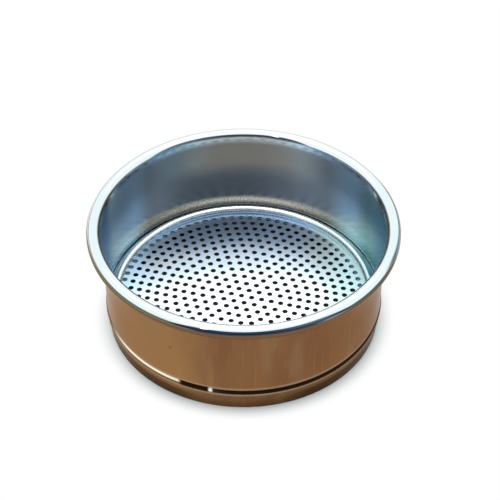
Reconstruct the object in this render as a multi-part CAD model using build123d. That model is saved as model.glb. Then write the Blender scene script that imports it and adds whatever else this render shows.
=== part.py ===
"""Test sieve: a rolled stainless frame, a nesting skirt with a seat flange, and a round-hole plate.

The axis is +Z and the origin is at the middle of the circle that the skirt stands on. All sizes
are in millimetres. The frame's wall has a rolled rim at the top and a crimped rib at the bottom,
and the rib closes over the skirt. The plate lies on the skirt's flange, and a ring with a round
inner edge holds it down. The skirt fits into the top of the next sieve of a stack.
"""

import os

from build123d import *

# ---- driving dimensions ----
sheet = 0.5                 # thickness of the frame's and the skirt's sheet
frame_bore = 96.8           # inside diameter of the frame's wall
overall_height = 41.5
rim_diameter = 108.0        # over the rolled rim
rim_tube = 4.6              # diameter of the rolled rim's own section
rim_flare_height = 18.0     # the wall leans out a little to the rim over this height
rim_sweep = 305.0           # degrees of curl, from the inside of the rim round to its free edge

nest_clearance = 0.1        # on the radius, between a skirt and what it fits in
nest_height = 4.6           # length of the skirt that fits into the next sieve
lip_rise = 0.2              # from the top of that length up to the frame's lip
lip_height = 1.3            # plain lip round the skirt, below the rib
rib_reach = 0.35            # how far the rib stands out of the wall
rib_lower_run = 1.5         # from the lip up to the crest
rib_upper_run = 1.5         # from the crest up to the plain wall

skirt_neck = 0.5            # how far the skirt draws in, inside the lip
skirt_bend = 0.8            # outside radius of the skirt's bend into the flange
flange_opening = 83.2       # clear diameter inside the seat flange

plate_thickness = 0.5
plate_edge_clearance = 0.3  # on the radius, inside the rib

ring_opening = 88.2         # clear diameter inside the retaining ring
ring_height = 1.9           # at its inner edge, before that is rounded
ring_rounding = 0.8         # radius of the round inner edge
ring_wall_height = 0.7      # height of the ring beside the wall
ring_clearance = 0.6        # on the radius, between the ring and the wall

hole_diameter = 1.9
hole_sides = 6              # each round hole has this many flats
hole_rings = 12             # ring n has 6n holes round one in the middle
first_pitch = 3.53          # distance between the rings in the middle of the plate
pitch_taper = 0.0163        # lost from a ring's mean pitch for each ring further out
corner_reach = 0.09         # how far a ring's six corners stand out, as a share of its radius
first_round_ring = 8        # from here out the rings are circles
pattern_turn = 44.0         # degrees from +X to the first line of corners
pattern_shift = (-0.8, -1.7)  # the punched pattern lies a little off the axis

# ---- derived sizes ----
bore_radius = frame_bore / 2
wall_radius = bore_radius + sheet / 2           # these radii are of the middle of the sheet
rib_radius = wall_radius + rib_reach
curl_radius = (rim_tube - sheet) / 2
rim_centre = (rim_diameter - rim_tube) / 2
rim_height = overall_height - rim_tube / 2
skirt_radius = bore_radius - nest_clearance - sheet / 2
neck_radius = skirt_radius - skirt_neck
lip_radius = skirt_radius + nest_clearance + sheet
lip_foot = nest_height + lip_rise
rib_height = lip_foot + lip_height + rib_lower_run      # height of the rib's crest

seat_top = rib_height - plate_thickness
plate_top = seat_top + plate_thickness
plate_radius = rib_radius - sheet / 2 - plate_edge_clearance


def s_bend(start, end):
    """Two equal tangent arcs between two upright ends."""
    middle = ((start[0] + end[0]) / 2, (start[1] + end[1]) / 2)
    first = TangentArc(start, middle, tangent=(0, 1))
    return [first, TangentArc(middle, end, tangent=first % 1)]


def turned(section):
    """A section drawn as radius and height, turned about the axis."""
    return revolve(Plane.XZ * section, Axis.Z)


def sheet_section(path):
    """Sheet of even thickness along the middle line of its section."""
    middle = Wire(path)
    left = middle.offset_2d(sheet / 2, side=Side.LEFT, closed=False)
    right = middle.offset_2d(sheet / 2, side=Side.RIGHT, closed=False)
    ends = [Line(left @ 0, right @ 1), Line(left @ 1, right @ 0)]
    return make_face(left.edges() + right.edges() + ends)


def upper_frame():
    """Plain wall between the crimped rib, which ends in a lip round the skirt, and the rolled rim."""
    lip = (lip_radius, lip_foot + lip_height)
    crest = (rib_radius, rib_height)
    wall_foot = (wall_radius, rib_height + rib_upper_run)
    wall_head = (wall_radius, rim_height - rim_flare_height)
    curl_start = (rim_centre - curl_radius, rim_height)
    curl = CenterArc((rim_centre, rim_height), curl_radius, 180, -rim_sweep)
    path = [
        Line((lip_radius, lip_foot), lip),
        *s_bend(lip, crest),
        *s_bend(crest, wall_foot),
        Line(wall_foot, wall_head),
        *s_bend(wall_head, curl_start),
        curl,
    ]
    return turned(sheet_section(path))


def lower_skirt():
    """Upright skirt, necked in at the top and bent to the flange that the plate lies on."""
    bend = skirt_bend - sheet / 2
    flange_height = seat_top - sheet / 2
    shoulder = (skirt_radius, nest_height)
    neck = (neck_radius, flange_height - bend)
    path = [
        Line((skirt_radius, 0), shoulder),
        *s_bend(shoulder, neck),
        CenterArc((neck_radius - bend, flange_height - bend), bend, 0, 90),
        Line((neck_radius - bend, flange_height), (flange_opening / 2, flange_height)),
    ]
    return turned(sheet_section(path))


def hole_centres():
    """The middle hole, and rings of 6n holes that go from six-cornered to round."""
    yield Vector(*pattern_shift)
    for ring in range(1, hole_rings + 1):
        mean_radius = ring * (first_pitch - pitch_taper * ring)
        reach = corner_reach * max(0, 1 - ring / first_round_ring)
        for step in range(6 * ring):
            turn = 60 * step / ring
            corner = Vector(1, 0).rotate(Axis.Z, 6 * turn).X
            radius = mean_radius * (1 + reach * corner)
            yield Vector(*pattern_shift) + Vector(radius, 0).rotate(Axis.Z, pattern_turn + turn)


def perforated_plate():
    """Flat disc with its holes, lying on the flange."""
    hole = RegularPolygon(hole_diameter / 2, hole_sides).wire()
    holes = [Pos(centre) * hole for centre in hole_centres()]
    disc = Face(Wire.make_circle(plate_radius), holes)
    return Pos(0, 0, seat_top) * extrude(disc, plate_thickness)


def retaining_ring():
    """Ring with a round inner edge, from which it slopes down towards the wall."""
    inner = ring_opening / 2
    outer = bore_radius - ring_clearance
    outline = Polyline((inner, 0), (inner, ring_height), (outer, ring_wall_height), (outer, 0), close=True)
    section = make_face(outline)
    crown = section.vertices().sort_by(Axis.Y)[-1]
    return Pos(0, 0, plate_top) * turned(fillet(crown, ring_rounding))


parts = {
    "upper_frame": upper_frame(),
    "lower_skirt": lower_skirt(),
    "perforated_plate": perforated_plate(),
    "retaining_ring": retaining_ring(),
}

os.makedirs("parts", exist_ok=True)
for name, shape in parts.items():
    export_step(shape, f"parts/{name}.step")
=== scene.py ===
"""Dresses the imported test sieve: rolled frame, nesting skirt, punched plate and retaining ring.

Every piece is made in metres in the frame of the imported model: +Z is the sieve's axis, and the
origin is the middle of the circle that its skirt stands on. The frame and the skirt are sheet,
so each is drawn as the middle line of its section, turned about the axis and given a thickness.
"""

from math import atan2, cos, pi, radians, sin, tan

import bmesh
import bpy
from bpy.props import FloatProperty, FloatVectorProperty, IntProperty, PointerProperty
from mathutils import Matrix, Vector


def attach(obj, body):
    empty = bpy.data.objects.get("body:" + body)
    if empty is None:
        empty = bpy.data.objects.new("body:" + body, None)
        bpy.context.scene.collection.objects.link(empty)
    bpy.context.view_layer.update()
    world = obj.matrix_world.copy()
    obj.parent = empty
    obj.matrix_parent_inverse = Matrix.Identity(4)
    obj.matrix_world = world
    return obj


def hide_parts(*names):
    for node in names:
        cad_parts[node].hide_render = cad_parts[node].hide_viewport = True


bl_info = {
    "name": "Test Sieve",
    "version": (1, 0, 0),
    "blender": (4, 5, 0),
    "location": "3D View > Sidebar > Sieve",
    "description": "Builds a laboratory test sieve with a rolled rim and a punched plate",
    "category": "Add Mesh",
}

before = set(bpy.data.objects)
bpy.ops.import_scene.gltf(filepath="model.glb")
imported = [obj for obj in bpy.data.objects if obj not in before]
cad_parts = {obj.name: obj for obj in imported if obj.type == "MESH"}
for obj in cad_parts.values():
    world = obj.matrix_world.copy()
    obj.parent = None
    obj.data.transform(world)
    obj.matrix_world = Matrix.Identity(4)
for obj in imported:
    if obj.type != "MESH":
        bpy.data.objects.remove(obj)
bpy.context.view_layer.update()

MM = 0.001
AXIS = (0, 0, 1)

TURN_STEPS = 256            # faces round a turned piece
RIM_STEPS = 44              # faces round the rim's curl
BEND_STEPS = 6              # faces in a bend of the wall or the flange
NECK_STEPS = 4              # faces in a bend of the skirt's neck
ROUNDING_STEPS = 10         # faces in the ring's round edge
DISC_STEPS = 192            # sides of the plate
HOLE_STEPS = 16             # sides of a hole
MERGE_REACH = 0.002 * MM    # points nearer than this become one
SHEET_EDGE = 0.1 * MM       # softening of a sheet's edges
RING_EDGE = 0.15 * MM       # softening of the ring's edges
BEVEL_ANGLE = radians(50)   # edges sharper than this are softened
SHARP_ANGLE = radians(38)   # edges sharper than this are shaded sharp
LEVEL_FACE = 0.9            # least Z of the normal of a face that looks up
UPRIGHT_FACE = 0.3          # most Z of the normal of a face that stands up

FLOOR_REACH = 3.0           # metres from the middle of the floor to its sides
CAMERA_LENS = 101.56        # millimetres
CAMERA_PLACE = (0, -0.36767, 0.35617)
CAMERA_TURN = (48.2441, -0.1328, -0.2237)  # degrees
LAMP_TARGET = Vector((0, 0, 0.02))
LAMPS = (
    # name, azimuth and elevation in degrees, distance, size, watts, colour
    ("overhead_softbox", 100, 75, 0.9, (0.8, 0.8), 6, "#FFFFFF"),
    ("window_strip", -118, 46, 0.7, (0.03, 0.22), 0.06, "#EEF2FF"),
)


def linear(code):
    """An sRGB hex colour as the linear values that Blender works in."""
    parts = [int(code[i : i + 2], 16) / 255 for i in (1, 3, 5)]
    return [p / 12.92 if p <= 0.04045 else ((p + 0.055) / 1.055) ** 2.4 for p in parts]


def length(name, description, millimetres):
    """A length in metres that the sidebar shows, from its default in millimetres."""
    return FloatProperty(
        name=name,
        description=description,
        default=millimetres * MM,
        min=0.0,
        precision=5,
        unit="LENGTH",
    )


def colour(name, description, code):
    """A colour that the sidebar shows, from its sRGB hex default."""
    return FloatVectorProperty(
        name=name,
        description=description,
        default=linear(code),
        min=0.0,
        max=1.0,
        size=3,
        subtype="COLOR",
    )


class SieveSizes(bpy.types.PropertyGroup):
    """Sizes of the sieve's own parts, which follow the solids."""

    sheet: length("Sheet", "Thickness of the frame's and the skirt's sheet", 0.5)
    wall_radius: length("Wall Radius", "From the axis to the middle of the wall's sheet", 48.65)
    rim_radius: length("Rim Radius", "From the axis to the middle of the rolled rim", 51.7)
    curl_sweep: FloatProperty(
        name="Curl Sweep",
        description="How far the rim's curl goes round",
        default=radians(305),
        subtype="ANGLE",
    )
    rim_height: length("Rim Height", "Height of the middle of the rolled rim", 39.2)
    curl_radius: length("Curl Radius", "Radius of the rim's curl, to the middle of its sheet", 2.05)
    flare_height: length("Flare Height", "Height over which the wall leans out to the rim", 18.0)
    rib_radius: length("Rib Radius", "From the axis to the rib's crest", 49.0)
    rib_height: length("Rib Height", "Height of the rib's crest", 7.6)
    rib_run: length("Rib Run", "Height from the rib's crest to where it ends, up or down", 1.5)
    lip_height: length("Lip Height", "Plain lip below the rib", 1.3)
    skirt_radius: length("Skirt Radius", "From the axis to the middle of the skirt's sheet", 48.05)
    nest_height: length("Nest Height", "Length of the skirt that nests in the next sieve", 4.6)
    skirt_neck: length("Skirt Neck", "How far the skirt draws in above that", 0.5)
    flange_bend: length("Flange Bend", "Radius of the bend into the flange, to mid sheet", 0.55)
    flange_radius: length("Flange Opening", "Clear radius inside the flange under the plate", 41.6)
    plate_radius: length("Plate Radius", "Radius of the punched plate", 48.45)
    plate_top: length("Plate Top", "Height of the plate's upper face", 7.6)
    ring_inside: length("Ring Inside", "Clear radius inside the retaining ring", 44.1)
    ring_outside: length("Ring Outside", "Radius over the retaining ring", 47.8)
    ring_height: length("Ring Height", "Height at the ring's inner edge, before it is rounded", 1.9)
    ring_rounding: length("Ring Rounding", "Radius of the ring's round inner edge", 1.5)
    ring_back: length("Ring Back", "Height of the ring beside the wall", 0.7)


class SievePattern(bpy.types.PropertyGroup):
    """The punched holes: one in the middle, and rings of six, twelve and so on round it."""

    hole_diameter: length("Hole Diameter", "Diameter of each punched hole", 1.9)
    burnish: length("Burnish", "Width of the bright rounded edge of each hole", 0.05)
    pitch: length("Pitch", "Distance between the rings in the middle of the plate", 3.53)
    taper: length("Taper", "Lost from a ring's mean pitch for each ring further out", 0.0163)
    rings: IntProperty(
        name="Rings",
        description="Rings of holes, the last of which is closed by the flange",
        default=13,
        min=1,
    )
    round_ring: IntProperty(
        name="First Round Ring",
        description="From here out the rings are circles, and inside it they have six corners",
        default=8,
        min=1,
    )
    corner_reach: FloatProperty(
        name="Corner Reach",
        description="How far the innermost corners stand out, as a share of the ring's radius",
        default=0.09,
        min=0.0,
        max=0.15,
    )
    turn: FloatProperty(
        name="Turn",
        description="Turn of the first line of corners from the X axis",
        default=radians(44),
        subtype="ANGLE",
    )
    shift: FloatVectorProperty(
        name="Shift",
        description="How far the pattern lies off the axis",
        default=(-0.8 * MM, -1.7 * MM),
        size=2,
        precision=5,
        unit="LENGTH",
    )


class SieveColours(bpy.types.PropertyGroup):
    """Colours of the finishes, most of them painted reflections, highlights and shade."""

    bright: colour("Bright Steel", "Polished rim and ring", "#EEF3F4")
    # painted reflection: this brown stands for a wooden bench mirrored in the polished outer wall
    warm: colour("Warm Reflection", "Outer wall, warm brown all round", "#795337")
    # painted light: a paler brown for the lit left of the outer wall; it also colours the real
    # scuffs
    lit_left_and_scuffs: colour("Light Warm Reflection", "Lighter left side of the outer wall", "#967048")
    warm_grey: colour("Grey Warm Reflection", "Cloudy patches of the outer wall", "#8B7153")
    warm_glint: colour("Warm Glint", "Outer wall where it is seen at a glancing angle", "#E2D6CC")
    # painted reflections on the rim's lower outside: brown of the bench below, a dark band, and
    # olive, blue and grey by side
    rim_brown_reflection: colour("Rim Brown", "Lower edge of the rolled rim, above the wall", "#705845")
    rim_dark_reflection: colour("Rim Shade", "Dark band above that edge at the front", "#3C424A")
    rim_olive_reflection: colour("Rim Olive", "Lower outside of the rolled rim on the left", "#77775F")
    rim_blue_reflection: colour("Rim Blue", "The same at the front", "#C9D8E8")
    rim_grey_reflection: colour("Rim Grey", "The same on the right", "#566260")
    rim_end_reflection: colour("Rim End", "Outside of the rim at the far right", "#93AEBE")
    # painted shade and painted dark reflection: the rib's slope, the neck under the rim and the
    # skirt; it also colours one real mark
    rib_shade_and_mark: colour("Rib Shade", "Upper slope of the rib", "#241509")
    # painted highlight: the rib's pale lines and its gleam on the left
    rib_gleam: colour("Rib Gleam", "The same on the left, where it gleams", "#FFF7DE")
    # the inner wall: grey at the back, then painted reflections: pale, blue on the left, teal then
    # blue on the right
    inside: colour("Inner Wall", "Grey at the back of the inner wall", "#B6AEA6")
    inner_pale_reflection: colour("Pale Inner Wall", "Between the back and the sides", "#DCEEF5")
    inner_blue_reflection: colour("Left Inner Wall", "Blue at the left of the inner wall", "#86B1DC")
    inner_teal_reflection: colour("Right Inner Wall", "Teal at the right of the inner wall", "#9FC6C4")
    inner_end_reflection: colour("Right End of the Inner Wall", "Blue beyond the teal", "#74B0D0")
    plate: colour("Plate", "Satin steel of the punched plate", "#F0F3F5")
    # painted reflections on the plate, and on the ring's right: bluer away from the front, teal on
    # the right
    plate_blue_reflection: colour("Blue of the Plate", "Bluer satin steel away from its front", "#D6E5F3")
    plate_back_reflection: colour("Back of the Plate", "The same at the back", "#96ADCB")
    right_teal_reflection: colour("Right of the Plate", "Greener satin steel at the right", "#C6D9DA")
    # painted reflection: darker bands on the ring between its bright ones
    ring_slope_reflection: colour("Ring Slope", "Outer slope of the retaining ring", "#A9B9BE")
    # painted shade: the flange's colour stands for it being unlit
    flange: colour("Flange", "Unlit flange that shows in the outermost holes", "#586B72")
    floor: colour("Floor", "Pale studio floor", "#F4F4F4")


# ---- drawing a section and turning it ----


def start_section(radius, height):
    """A mesh that holds the first point of a section, and that point."""
    bm = bmesh.new()
    return bm, bm.verts.new((radius, 0, height))


def run_to(bm, end, radius, height):
    """Carries the section on in a straight line and returns its new end."""
    end = bmesh.ops.extrude_vert_indiv(bm, verts=[end])["verts"][0]
    end.co = (radius, 0, height)
    return end


def arc_about(bm, end, radius, height, turn, steps):
    """Carries the section on round a centre and returns its new end."""
    made = bmesh.ops.spin(
        bm, geom=[end], cent=(radius, 0, height), axis=(0, 1, 0), angle=turn, steps=steps
    )
    return next(v for v in made["geom_last"] if isinstance(v, bmesh.types.BMVert))


def s_bend(bm, end, radius, height, steps=BEND_STEPS):
    """Carries the section on through two equal bends between two upright ends."""
    lean, rise = radius - end.co.x, height - end.co.z
    turn = 2 * atan2(lean, rise)
    bend = rise / 2 / sin(turn)
    middle = arc_about(bm, end, end.co.x + bend, end.co.z, turn, steps)
    return arc_about(bm, middle, radius - bend, height, -turn, steps)


def turned(bm):
    """Turns the section about the axis, closes the seam and makes the faces point one way."""
    bmesh.ops.spin(
        bm,
        geom=bm.verts[:] + bm.edges[:],
        cent=(0, 0, 0),
        axis=AXIS,
        angle=2 * pi,
        steps=TURN_STEPS,
        use_merge=True,
    )
    bmesh.ops.remove_doubles(bm, verts=bm.verts, dist=MERGE_REACH)
    bmesh.ops.recalc_face_normals(bm, faces=bm.faces)


def finish_piece(bm, name, node, material, sheet=0.0, edge=0.0, flat=False):
    """Makes the mesh a piece that rides on the sieve and stands for a CAD node."""
    mesh = bpy.data.meshes.new(name)
    bm.to_mesh(mesh)
    bm.free()
    piece = bpy.data.objects.new(name, mesh)
    bpy.context.collection.objects.link(piece)
    if sheet:
        wall = piece.modifiers.new("Sheet", "SOLIDIFY")
        wall.thickness, wall.offset, wall.use_even_offset = sheet, 0, True
    if edge:
        round_off = piece.modifiers.new("Soft Edges", "BEVEL")
        round_off.width, round_off.segments = edge, 2
        round_off.limit_method, round_off.angle_limit = "ANGLE", BEVEL_ANGLE
    shaped = piece.evaluated_get(bpy.context.evaluated_depsgraph_get())
    piece.data = bpy.data.meshes.new_from_object(shaped)
    piece.data.name = name
    piece.modifiers.clear()
    if flat:
        piece.data.shade_flat()
    else:
        piece.data.shade_smooth()
        piece.data.set_sharp_from_angle(angle=SHARP_ANGLE)
    piece.data.materials.append(material)
    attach(piece, "root")
    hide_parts(node)
    return piece


# ---- finishes ----


def add(tree, kind, settings=None, inputs=None):
    """Adds a node with its settings, and with values or links on its inputs.

    An input takes a value, a socket, or a node, whose result is then linked.
    """
    node = tree.nodes.new(kind)
    for name, value in (settings or {}).items():
        setattr(node, name, value)
    for name, value in (inputs or {}).items():
        socket = node.inputs[name]
        if isinstance(value, bpy.types.Node):
            value = next(output for output in value.outputs if output.enabled)
        if isinstance(value, bpy.types.NodeSocket):
            tree.links.new(value, socket)
        elif socket.type == "RGBA":
            socket.default_value = (*value, 1.0)
        else:
            socket.default_value = value
    return node


def blank_material(name):
    """A material that holds no nodes yet, and its node tree."""
    material = bpy.data.materials.new(name)
    material.use_nodes = True
    tree = material.node_tree
    tree.nodes.clear()
    return material, tree


def cover(tree, steps, strength=1.0):
    """How far a place is covered: a strength times soft steps, each a value, its 0 and its 1."""
    for value, nought, one in steps:
        step = add(
            tree, "ShaderNodeMapRange", {"interpolation_type": "SMOOTHSTEP"},
            {"Value": value, "From Min": nought, "From Max": one},
        )
        strength = add(tree, "ShaderNodeMath", {"operation": "MULTIPLY"}, {0: step, 1: strength})
    return strength


def coat(tree, under, over, steps=(), strength=1.0):
    """One colour laid over another, as far as a strength and soft steps cover."""
    covered = cover(tree, steps, strength)
    return add(tree, "ShaderNodeMix", {"data_type": "RGBA"}, {"Factor": covered, 6: under, 7: over})


def graded(tree, value, stops):
    """A colour that changes smoothly with a value, from pairs of that value and a colour."""
    first, last = stops[0][0], stops[-1][0]
    span = add(
        tree, "ShaderNodeMapRange", None, {"Value": value, "From Min": first, "From Max": last}
    )
    ramp = add(tree, "ShaderNodeValToRGB", None, {"Fac": span})
    ramp.color_ramp.interpolation = "EASE"
    elements = ramp.color_ramp.elements
    while len(elements) < len(stops):
        elements.new(1.0)
    for element, (reach, tone) in zip(elements, stops):
        element.position, element.color = (reach - first) / (last - first), (*tone, 1.0)
    return ramp


def drawn_noise(tree, place, waves, detail=2.0):
    """Noise drawn out by its number of waves per metre along each axis."""
    drawn = add(tree, "ShaderNodeVectorMath", {"operation": "MULTIPLY"}, {0: place, 1: waves})
    return add(
        tree, "ShaderNodeTexNoise", None, {"Vector": drawn, "Scale": 1.0, "Detail": detail}
    )


def in_millimetres(tree, place):
    """The three coordinates of a place, in millimetres."""
    larger = add(
        tree, "ShaderNodeVectorMath", {"operation": "SCALE"}, {"Vector": place, "Scale": 1 / MM}
    )
    return add(tree, "ShaderNodeSeparateXYZ", None, {0: larger}).outputs


def cloudy_wall(tree, place, left, colours):
    """Brown outer wall, a painted reflection: cloudy, painted lighter on the left, faint scuffs and
    a mark.
    """
    # clouds about 15 mm across that are drawn out up the wall
    cloud = drawn_noise(tree, place, (70, 70, 25), 4.0)
    # painted light: the wall is paler towards the left, broken up by the clouds
    drift = add(tree, "ShaderNodeMath", {"operation": "SUBTRACT"}, {0: cloud, 1: 0.40})
    lit_left_and_clouds = add(
        tree, "ShaderNodeMath", {"operation": "ADD", "use_clamp": True}, {0: left, 1: drift}
    )
    wall = coat(tree, colours.warm, colours.lit_left_and_scuffs, strength=lit_left_and_clouds)
    # grey patches about 9 mm across
    patch = drawn_noise(tree, place, (110, 110, 30), 3.0)
    wall = coat(tree, wall, colours.warm_grey, [(patch, 0.50, 0.66)], 0.35)
    # scuffs up the wall, about 1 mm apart
    scuff = drawn_noise(tree, place, (900, 900, 35), 3.0)
    wall = coat(tree, wall, colours.lit_left_and_scuffs, [(scuff, 0.50, 0.75)], 0.3)
    # one mark about 1.5 mm across
    mark = add(
        tree, "ShaderNodeVectorMath", {"operation": "DISTANCE"},
        {0: place, 1: (-0.0243, -0.0424, 0.0230)},
    )
    return coat(tree, wall, colours.rib_shade_and_mark, [(mark, 0.0010, 0.0003)], 0.3)


def wall_with_painted_light(tree, wall, left, x, y, z, colours):
    """The outer wall's brown with painted shade and highlights that follow its shape, by
    millimetres.
    """
    across = add(tree, "ShaderNodeMath", {"operation": "ABSOLUTE"}, {0: x})
    in_front = (y, 0.0, -10.0)
    shade, gleam = colours.rib_shade_and_mark, colours.rib_gleam

    # painted shade: a darker neck under the rim, and a darker skirt, whose lower half is darker
    # still at its sides
    for steps, strength in (
        ([(z, 34.5, 36.2)], 0.45),
        ([(z, 6.2, 5.6)], 0.15),
        ([(z, 4.6, 3.0), (across, 10.0, 24.0)], 0.6),
    ):
        wall = coat(tree, wall, shade, steps, strength)

    # rib: painted reflections: pale lines along both sides of a dark upper slope, which gleams on
    # the left, then a wider dark stretch, with a painted glint at its end
    lines = add(
        tree, "ShaderNodeMath", {"operation": "MAXIMUM"},
        {
            0: cover(tree, [(z, 8.5, 8.9), (z, 10.1, 9.4)], 0.105),
            1: cover(tree, [(z, 6.1, 6.5), (z, 7.4, 7.1)], 0.35),
        },
    )
    wall = coat(tree, wall, gleam, strength=lines)
    slope = coat(tree, shade, colours.warm, strength=left)
    for tone, steps in (
        (slope, [(z, 7.0, 7.3), (z, 9.0, 8.7)]),
        (gleam, [(z, 7.9, 8.2), (z, 9.0, 8.7), (x, -20.5, -22.5), (y, -15.0, -30.0)]),
        (shade, [(z, 6.9, 7.2), (z, 9.3, 9.0), (x, -22.3, -20.7), (x, -10.3, -11.9), in_front]),
        # painted glint: a small white spot at the end of the dark stretch
        ((1, 1, 1), [(z, 7.0, 8.0), (z, 9.3, 8.4), (x, -12.2, -11.4), (x, -10.2, -11.0), in_front]),
    ):
        wall = coat(tree, wall, tone, steps)
    return wall


def rim_edge_reflections(tree, x, tilt, colours):
    """Painted reflections on the rim's lower outside: olive on the left, blue at the front, grey on
    the right.
    """
    edge = graded(
        tree, x,
        (
            (-21.6, colours.rim_olive_reflection), (-13.0, colours.rim_blue_reflection), (19.4, colours.rim_blue_reflection),
            (35.6, colours.rim_grey_reflection), (48.6, colours.rim_grey_reflection), (52.9, colours.rim_end_reflection),
        ),
    )
    # painted reflections: a dark band at the front, and brown below it all round
    dark = [(x, -26.0, -14.0), (x, 32.0, 22.0), (tilt, 0.50, 0.42)]
    edge = coat(tree, edge, colours.rim_dark_reflection, dark)
    return coat(tree, edge, colours.rim_brown_reflection, [(tilt, 0.30, 0.12)])


def inner_wall_reflections(tree, x, colours):
    """Inner wall, grey at the back, then painted reflections: pale, then blue left and teal right.
    """
    return graded(
        tree, x,
        (
            (-48.5, colours.inner_blue_reflection), (-46.5, colours.inner_pale_reflection),
            (-41.0, colours.inner_pale_reflection), (-34.0, colours.inside),
            (30.0, colours.inside), (40.0, colours.inner_pale_reflection),
            (45.5, colours.inner_teal_reflection), (48.5, colours.inner_end_reflection),
        ),
    )


def rolled_steel(colours):
    """Stainless sheet, spun and rolled, bright on the rim and satin on the wall.

    The outside of the wall is painted warm brown and the inside cool grey: painted reflections of
    a wooden bench under it and daylight above it. The rim's lower outside, the rib and the inner
    wall carry further painted reflections, highlights and shade.
    """
    material, tree = blank_material("rolled_steel_painted_reflections")
    place = add(tree, "ShaderNodeTexCoord").outputs["Object"]
    x, y, z = in_millimetres(tree, place)
    normal = add(tree, "ShaderNodeNewGeometry").outputs["Normal"]
    tilt = add(tree, "ShaderNodeSeparateXYZ", None, {0: normal}).outputs["Z"]
    level = add(tree, "ShaderNodeVectorMath", {"operation": "MULTIPLY"}, {0: place, 1: (1, 1, 0)})
    outward = add(tree, "ShaderNodeVectorMath", {"operation": "NORMALIZE"}, {0: level})
    facing = add(
        tree, "ShaderNodeVectorMath", {"operation": "DOT_PRODUCT"}, {0: normal, 1: outward}
    )
    outside = cover(tree, [(facing, 0.0, 0.3)])
    rim = cover(tree, [(z, 36.6, 39.0)])
    # the left, where the outer wall is painted paler as lit and the rib's slope loses its painted
    # shade
    left = cover(tree, [(x, -4.0, -26.0)])

    wall = cloudy_wall(tree, place, left, colours)
    wall = wall_with_painted_light(tree, wall, left, x, y, z, colours)
    outer = coat(tree, wall, rim_edge_reflections(tree, x, tilt, colours), strength=rim)

    # the rim has these painted reflections only low on its outside, and up to its top at the far
    # right
    low = add(
        tree, "ShaderNodeMath", {"operation": "MAXIMUM"},
        {
            0: cover(tree, [(tilt, 0.68, 0.50)]),
            1: cover(tree, [(x, 46.0, 51.0), (tilt, 0.90, 0.76)], rim),
        },
    )
    # where the outside's painted reflections go; elsewhere the inner wall's painted reflections, or
    # bright steel
    warm = add(tree, "ShaderNodeMath", {"operation": "MULTIPLY"}, {0: outside, 1: low})
    bright = add(tree, "ShaderNodeMath", {"operation": "MAXIMUM"}, {0: rim, 1: outside})
    steel = coat(tree, inner_wall_reflections(tree, x, colours), colours.bright, strength=bright)

    # polishing lines that run round the wall, about 0.4 mm apart
    satin = add(
        tree, "ShaderNodeMapRange", None,
        {
            "Value": drawn_noise(tree, place, (60, 60, 2500)),
            "From Min": 0.3, "From Max": 0.7, "To Min": 0.23, "To Max": 0.27,
        },
    )
    polish = add(tree, "ShaderNodeMix", {"data_type": "FLOAT"}, {"Factor": rim, 2: satin, 3: 0.07})
    shader = add(
        tree, "ShaderNodeBsdfPrincipled", None,
        {
            "Base Color": coat(tree, steel, outer, strength=warm),
            "Metallic": 1.0,
            "Roughness": polish,
            "Specular Tint": coat(tree, (1, 1, 1), colours.warm_glint, strength=warm),
        },
    )
    add(tree, "ShaderNodeOutputMaterial", None, {"Surface": shader})
    return material


def punched_edge():
    """Sheared inside of a punched hole: dull, and painted dark as shade so that the holes look
    dark.
    """
    material, tree = blank_material("sheared_hole_edge_painted_shade")
    shader = add(
        tree, "ShaderNodeBsdfPrincipled", None,
        {"Base Color": linear("#3C4044"), "Metallic": 1.0, "Roughness": 0.55},
    )
    add(tree, "ShaderNodeOutputMaterial", None, {"Surface": shader})
    return material


def satin_steel(name, roughness, stops, centre=(0, 0), right=None, width=1.0):
    """Stainless steel with a fine satin finish: soft reflections with a faint grain.

    Its tone, a painted reflection or painted shade, goes through the stops, which are distances in
    metres from a centre at any height. It turns to another painted tone on the right, and a width
    under 1 draws the tones out along X.
    """
    material, tree = blank_material(name)
    place = add(tree, "ShaderNodeTexCoord").outputs["Object"]
    level = add(
        tree, "ShaderNodeVectorMath", {"operation": "MULTIPLY"}, {0: place, 1: (width, 1, 0)}
    )
    away = add(
        tree, "ShaderNodeVectorMath", {"operation": "DISTANCE"}, {0: level, 1: (*centre, 0)}
    )
    tone = graded(tree, away, stops)
    if right:
        x = in_millimetres(tree, place)["X"]
        tone = coat(tree, tone, right, [(x, 20.0, 36.0)])
    # grain about 0.5 mm wide and 8 mm long
    grain = add(
        tree, "ShaderNodeMapRange", None,
        {
            "Value": drawn_noise(tree, place, (2000, 120, 120)),
            "From Min": 0.3, "From Max": 0.7, "To Min": roughness[0], "To Max": roughness[1],
        },
    )
    shader = add(
        tree, "ShaderNodeBsdfPrincipled", None,
        {"Base Color": tone, "Metallic": 1.0, "Roughness": grain},
    )
    add(tree, "ShaderNodeOutputMaterial", None, {"Surface": shader})
    return material


# ---- pieces ----


class SIEVE_OT_rolled_frame(bpy.types.Operator):
    """Build the frame: lip, rib, plain wall, flare and rolled rim, all of one sheet"""

    bl_idname = "sieve.rolled_frame"
    bl_label = "Rolled Frame"

    def execute(self, context):
        s = context.scene.sieve_sizes
        lip = s.rib_height - s.rib_run
        bm, end = start_section(s.wall_radius, lip - s.lip_height)
        end = run_to(bm, end, s.wall_radius, lip)
        end = s_bend(bm, end, s.rib_radius, s.rib_height)
        end = s_bend(bm, end, s.wall_radius, s.rib_height + s.rib_run)
        end = run_to(bm, end, s.wall_radius, s.rim_height - s.flare_height)
        end = s_bend(bm, end, s.rim_radius - s.curl_radius, s.rim_height)
        arc_about(bm, end, s.rim_radius, s.rim_height, s.curl_sweep, RIM_STEPS)
        turned(bm)
        finish_piece(
            bm, "rolled_frame", "upper_frame",
            rolled_steel(context.scene.sieve_colours), sheet=s.sheet, edge=SHEET_EDGE,
        )
        return {"FINISHED"}


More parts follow.
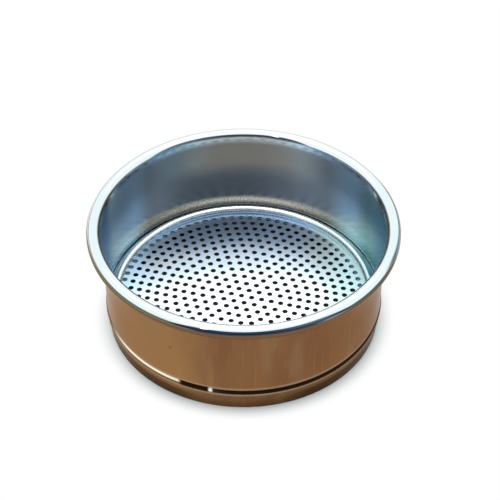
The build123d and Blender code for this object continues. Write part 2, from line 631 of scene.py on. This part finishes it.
class SIEVE_OT_nesting_skirt(bpy.types.Operator):
    """Build the skirt that nests in the next sieve, with the flange that carries the plate"""

    bl_idname = "sieve.nesting_skirt"
    bl_label = "Nesting Skirt"

    def execute(self, context):
        s = context.scene.sieve_sizes
        bend = s.flange_bend
        flange = s.plate_top - 1.5 * s.sheet
        neck = s.skirt_radius - s.skirt_neck
        bm, end = start_section(s.skirt_radius, 0)
        end = run_to(bm, end, s.skirt_radius, s.nest_height)
        end = s_bend(bm, end, neck, flange - bend, NECK_STEPS)
        end = arc_about(bm, end, neck - bend, flange - bend, -pi / 2, BEND_STEPS)
        run_to(bm, end, s.flange_radius, flange)
        turned(bm)
        skirt = finish_piece(
            bm, "nesting_skirt", "lower_skirt",
            bpy.data.materials["rolled_steel_painted_reflections"], sheet=s.sheet, edge=SHEET_EDGE,
        )
        # painted shade: the flange's upper faces are painted dark grey, as unlit
        grey = context.scene.sieve_colours.flange
        skirt.data.materials.append(
            satin_steel("satin_flange_painted_shade", (0.5, 0.6), ((0.0, grey), (0.05, grey)))
        )
        for face in skirt.data.polygons:
            if face.normal.z > LEVEL_FACE:
                face.material_index = 1
        return {"FINISHED"}


class SIEVE_OT_punched_plate(bpy.types.Operator):
    """Build the flat plate with its rings of round punched holes"""

    bl_idname = "sieve.punched_plate"
    bl_label = "Punched Plate"

    def centres(self, p):
        """The middle hole, and rings of 6n holes that go from six-cornered to round."""
        yield Vector((*p.shift, 0))
        for ring in range(1, p.rings + 1):
            mean = ring * (p.pitch - p.taper * ring)
            reach = p.corner_reach * max(0, 1 - ring / p.round_ring)
            for step in range(6 * ring):
                turn = step / ring * pi / 3
                radius = mean * (1 + reach * cos(6 * turn))
                corner = Matrix.Rotation(p.turn + turn, 3, "Z") @ Vector((radius, 0, 0))
                yield Vector((*p.shift, 0)) + corner

    def execute(self, context):
        s, p = context.scene.sieve_sizes, context.scene.sieve_pattern
        bm = bmesh.new()
        level = Matrix.Translation((0, 0, s.plate_top - s.sheet))
        bmesh.ops.create_circle(bm, segments=DISC_STEPS, radius=s.plate_radius, matrix=level)
        for centre in self.centres(p):
            bmesh.ops.create_circle(
                bm, segments=HOLE_STEPS, radius=p.hole_diameter / 2,
                matrix=level @ Matrix.Translation(centre),
            )
        bmesh.ops.triangle_fill(
            bm, edges=bm.edges[:], use_beauty=True, use_dissolve=False, normal=AXIS
        )
        raised = bmesh.ops.extrude_face_region(bm, geom=bm.faces[:])["geom"]
        top = [v for v in raised if isinstance(v, bmesh.types.BMVert)]
        bmesh.ops.translate(bm, verts=top, vec=(0, 0, s.sheet))
        bmesh.ops.recalc_face_normals(bm, faces=bm.faces)
        # the upper edges of the holes, which the burnishing rounds
        rims = [
            e
            for e in bm.edges
            if e.is_manifold
            and all(v.co.z > s.plate_top - MERGE_REACH for v in e.verts)
            and e.calc_face_angle() > BEVEL_ANGLE
            and e.verts[0].co.xy.length < s.plate_radius - s.sheet
        ]
        bmesh.ops.bevel(
            bm, geom=rims, offset=p.burnish, offset_type="OFFSET", affect="EDGES",
            segments=1, profile=0.5, material=-1,
        )
        colours = context.scene.sieve_colours
        plate = finish_piece(
            bm, "punched_plate", "perforated_plate",
            # painted reflections: the plate turns bluer towards its back and teal on its right
            satin_steel(
                "satin_plate_painted_reflections", (0.28, 0.31),
                ((0.027, colours.plate), (0.037, colours.plate_blue_reflection), (0.052, colours.plate_back_reflection)),
                centre=(0, -0.020), right=colours.right_teal_reflection, width=0.7,
            ),
            flat=True,
        )
        plate.data.materials.append(punched_edge())
        # the walls of the holes that are open below take the painted shade
        for face in plate.data.polygons:
            open_below = face.center.xy.length < s.flange_radius
            if open_below and abs(face.normal.z) < UPRIGHT_FACE:
                face.material_index = 1
        return {"FINISHED"}


class SIEVE_OT_retaining_ring(bpy.types.Operator):
    """Build the ring that holds the plate down, round inside and sloped towards the wall"""

    bl_idname = "sieve.retaining_ring"
    bl_label = "Retaining Ring"

    def execute(self, context):
        s, colours = context.scene.sieve_sizes, context.scene.sieve_colours
        foot = s.plate_top
        slope = atan2(s.ring_height - s.ring_back, s.ring_outside - s.ring_inside)
        reach = s.ring_rounding * tan((pi / 2 - slope) / 2)
        shoulder = foot + s.ring_height - reach
        bm, start = start_section(s.ring_inside, foot)
        end = run_to(bm, start, s.ring_inside, shoulder)
        centre = s.ring_inside + s.ring_rounding
        end = arc_about(bm, end, centre, shoulder, pi / 2 + slope, ROUNDING_STEPS)
        end = run_to(bm, end, s.ring_outside, foot + s.ring_back)
        end = run_to(bm, end, s.ring_outside, foot)
        bm.edges.new((end, start))
        turned(bm)
        finish_piece(
            bm, "retaining_ring_piece", "retaining_ring",
            # painted reflections: bright and darker bands by radius, and teal on the right
            satin_steel(
                "polished_ring_painted_reflections", (0.24, 0.30),
                (
                    (0.0454, colours.bright), (0.0461, colours.ring_slope_reflection),
                    (0.0467, colours.bright), (0.0478, colours.ring_slope_reflection),
                ),
                right=colours.right_teal_reflection,
            ),
            edge=RING_EDGE,
        )
        return {"FINISHED"}


# ---- stage ----


def studio_floor(tone):
    """Painted studio floor, plain and pale, and clear from below.

    A short way from the sieve it is as white as the backdrop; under the sieve it is painted nearly
    black as shade.
    """
    material, tree = blank_material("pale_studio_floor")
    place = add(tree, "ShaderNodeTexCoord").outputs["Object"]
    away = add(tree, "ShaderNodeVectorMath", {"operation": "LENGTH"}, {0: place})
    # painted shade: nearly black under the sieve, where only the plate's holes show it
    painted_floor_shade = add(
        tree, "ShaderNodeMapRange", {"interpolation_type": "SMOOTHSTEP"},
        {"Value": away, "From Min": 0.046, "From Max": 0.049, "To Min": 0.06, "To Max": 1.0},
    )
    paint = add(
        tree, "ShaderNodeBsdfPrincipled", None,
        {"Base Color": coat(tree, (0, 0, 0), tone, strength=painted_floor_shade), "Roughness": 0.9},
    )
    path = add(tree, "ShaderNodeLightPath").outputs
    seen = add(
        tree, "ShaderNodeMath", {"operation": "MAXIMUM"},
        {0: path["Is Camera Ray"], 1: path["Is Glossy Ray"]},
    )
    white = add(tree, "ShaderNodeEmission", None, {"Color": (1, 1, 1), "Strength": 1.0})
    above = add(
        tree, "ShaderNodeMixShader", None,
        {0: cover(tree, [(away, 0.0465, 0.055)], seen), 1: paint, 2: white},
    )
    sided = add(
        tree, "ShaderNodeMixShader", None,
        {
            0: add(tree, "ShaderNodeNewGeometry").outputs["Backfacing"],
            1: above,
            2: add(tree, "ShaderNodeBsdfTransparent"),
        },
    )
    add(tree, "ShaderNodeOutputMaterial", None, {"Surface": sided})
    return material


def studio_world():
    """White studio walls, with a dark opening to the front and right and a brown skirting below."""
    world = bpy.data.worlds.new("studio")
    bpy.context.scene.world = world
    world.use_nodes = True
    tree = world.node_tree
    tree.nodes.clear()
    way = add(tree, "ShaderNodeTexCoord").outputs["Generated"]
    x, _, z = add(tree, "ShaderNodeSeparateXYZ", None, {0: way}).outputs
    front = add(
        tree, "ShaderNodeVectorMath", {"operation": "DOT_PRODUCT"}, {0: way, 1: (0.208, -0.978, 0)}
    )
    dark = coat(tree, linear("#3A4152"), linear("#5F7078"), [(x, 0.2, 0.8)])
    wall = coat(tree, linear("#F2FCFF"), linear("#8F7A60"), [(z, 0.2, 0.08)])
    room = coat(tree, wall, dark, [(front, 0.46, 0.54), (z, 0.74, 0.67)])
    seen = add(tree, "ShaderNodeLightPath").outputs["Is Camera Ray"]
    sky = add(
        tree, "ShaderNodeBackground", None,
        {"Color": coat(tree, room, (1, 1, 1), strength=seen), "Strength": 1.08},
    )
    add(tree, "ShaderNodeOutputWorld", None, {"Surface": sky})


def soft_lamp(name, azimuth, elevation, distance, size, watts, tint):
    """An area lamp at a distance from the middle of the sieve, which it faces."""
    a, e = radians(azimuth), radians(elevation)
    back = Vector((cos(a) * cos(e), sin(a) * cos(e), sin(e)))
    lamp = bpy.data.lights.new(name, "AREA")
    lamp.shape = "RECTANGLE"
    lamp.size, lamp.size_y = size
    lamp.energy = watts
    lamp.color = linear(tint)
    holder = bpy.data.objects.new(name, lamp)
    holder.location = LAMP_TARGET + back * distance
    holder.rotation_euler = back.to_track_quat("Z", "Y").to_euler()
    bpy.context.collection.objects.link(holder)


class SIEVE_OT_stage(bpy.types.Operator):
    """Lay the floor, set the soft studio light and place the camera"""

    bl_idname = "sieve.stage"
    bl_label = "Stage"

    def execute(self, context):
        scene = context.scene
        bm = bmesh.new()
        bmesh.ops.create_grid(bm, x_segments=4, y_segments=4, size=FLOOR_REACH)
        mesh = bpy.data.meshes.new("studio_floor")
        bm.to_mesh(mesh)
        bm.free()
        floor = bpy.data.objects.new("studio_floor", mesh)
        scene.collection.objects.link(floor)
        mesh.materials.append(studio_floor(scene.sieve_colours.floor))

        studio_world()
        for lamp in LAMPS:
            soft_lamp(*lamp)

        lens = bpy.data.cameras.new("camera")
        lens.lens, lens.sensor_width = CAMERA_LENS, 36
        lens.clip_start = 0.01
        camera = bpy.data.objects.new("camera", lens)
        camera.location = CAMERA_PLACE
        camera.rotation_euler = [radians(turn) for turn in CAMERA_TURN]
        scene.collection.objects.link(camera)
        scene.camera = camera
        scene.view_settings.view_transform = "Standard"
        return {"FINISHED"}


class SIEVE_PT_panel(bpy.types.Panel):
    """Lists the pieces of the sieve and their sizes"""

    bl_idname = "SIEVE_PT_panel"
    bl_label = "Test Sieve"
    bl_space_type = "VIEW_3D"
    bl_region_type = "UI"
    bl_category = "Sieve"

    def draw(self, context):
        layout = self.layout
        for piece in PIECES:
            layout.operator(piece.bl_idname)
        for group in (
            context.scene.sieve_sizes,
            context.scene.sieve_pattern,
            context.scene.sieve_colours,
        ):
            box = layout.box()
            for name in group.__annotations__:
                box.prop(group, name)


GROUPS = {
    "sieve_sizes": SieveSizes,
    "sieve_pattern": SievePattern,
    "sieve_colours": SieveColours,
}
PIECES = (
    SIEVE_OT_rolled_frame,
    SIEVE_OT_nesting_skirt,
    SIEVE_OT_punched_plate,
    SIEVE_OT_retaining_ring,
    SIEVE_OT_stage,
)


def register():
    for kind in (*GROUPS.values(), *PIECES, SIEVE_PT_panel):
        bpy.utils.register_class(kind)
    for name, group in GROUPS.items():
        setattr(bpy.types.Scene, name, PointerProperty(type=group))


def unregister():
    for name in GROUPS:
        delattr(bpy.types.Scene, name)
    for kind in reversed((*GROUPS.values(), *PIECES, SIEVE_PT_panel)):
        bpy.utils.unregister_class(kind)


def main():
    register()
    bpy.ops.sieve.rolled_frame()
    bpy.ops.sieve.nesting_skirt()
    bpy.ops.sieve.punched_plate()
    bpy.ops.sieve.retaining_ring()
    bpy.ops.sieve.stage()


if __name__ == "__main__":
    main()
